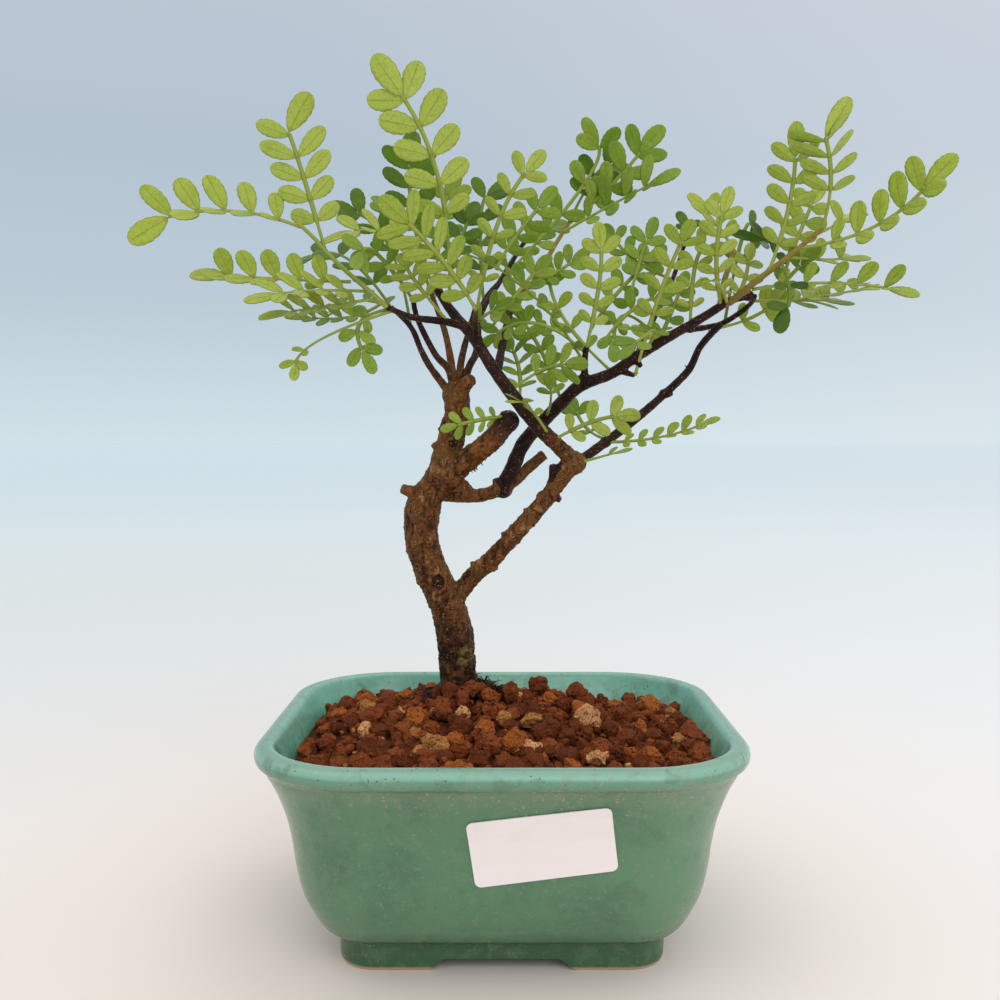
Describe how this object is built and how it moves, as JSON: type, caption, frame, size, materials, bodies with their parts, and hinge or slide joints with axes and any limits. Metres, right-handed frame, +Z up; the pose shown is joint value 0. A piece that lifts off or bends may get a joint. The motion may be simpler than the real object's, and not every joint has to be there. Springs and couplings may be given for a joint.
{
  "type": "chinese pepper bonsai in a ceramic pot",
  "caption": "Small bonsai tree with a crooked trunk and feathery compound leaves, in granular soil in a rounded rectangular green glazed pot with a blank label.",
  "frame": {"origin": "middle of the whole box, on the surface that the pot's feet stand on", "axes": "+Z up, the pot's long sides along X, its labelled front towards -Y"},
  "size_m": [0.2742, 0.1484, 0.2949],
  "materials": {
    "glaze": "satin",
    "soil": "matte",
    "bark": "matte",
    "label": "satin",
    "screen": "matte",
    "leaf_young": "satin",
    "leaf_pale": "satin",
    "leaf_mid": "satin",
    "leaf_dark": "satin",
    "leaf_glossy": "gloss"
  },
  "bodies": {
    "root": {"pot": "glaze", "soil": "soil", "tree": "bark", "blank_label": "label", "drain_screen_left": "screen", "drain_screen_right": "screen", "shoot_left": "leaf_young", "leaf_left_drooping": "leaf_young", "leaf_left_hanging": "leaf_mid", "leaf_top_tall": "leaf_young", "leaf_front_large": "leaf_pale", "leaf_top_left_level": "leaf_young", "leaf_front_upright": "leaf_young", "leaf_front_small": "leaf_pale", "leaf_back_left_high": "leaf_dark", "leaf_back_top": "leaf_mid", "leaf_back_right_short": "leaf_mid", "leaf_rear_high": "leaf_dark", "leaf_rear_middle": "leaf_mid", "leaf_rear_low": "leaf_mid", "leaf_spur_upright": "leaf_young", "leaf_spur_edgewise": "leaf_mid", "leaf_inner_diagonal": "leaf_mid", "leaf_inner_short": "leaf_mid", "leaf_leader_front": "leaf_mid", "leaf_crossing_small": "leaf_young", "leaf_crossing_upper": "leaf_mid", "leaf_right_front": "leaf_pale", "leaf_right_upright": "leaf_young", "leaf_right_slim": "leaf_young", "leaf_back_thin_left": "leaf_mid", "leaf_back_thin_tip": "leaf_dark", "leaf_middle_hanging": "leaf_mid", "leaf_right_golden": "leaf_young", "leaf_end_upright": "leaf_young", "leaf_end_tip_upright": "leaf_young", "leaf_end_long": "leaf_young", "leaf_end_level": "leaf_mid", "leaf_end_level_back": "leaf_mid", "leaf_end_low_back": "leaf_mid", "leaf_end_drooping": "leaf_glossy", "leaf_end_inner": "leaf_glossy", "leaf_end_young": "leaf_pale", "leaf_low_right": "leaf_young", "leaf_low_middle": "leaf_young", "leaf_low_back": "leaf_mid", "leaf_front_left_fan": "leaf_mid", "leaf_back_middle_high": "leaf_mid", "leaf_back_left_fan": "leaf_dark", "leaf_back_deep_high": "leaf_dark", "leaf_back_deep_right": "leaf_mid", "leaf_back_deep_left": "leaf_mid", "leaf_back_low_left": "leaf_mid", "leaf_right_back_upright": "leaf_dark", "leaf_middle_back_fan": "leaf_pale", "leaf_front_low_fan": "leaf_mid", "leaf_end_tip_short": "leaf_young", "leaf_inner_level": "leaf_mid", "leaf_inner_right": "leaf_mid", "leaf_back_left_tuft": "leaf_dark"}
  },
  "joints": []
}
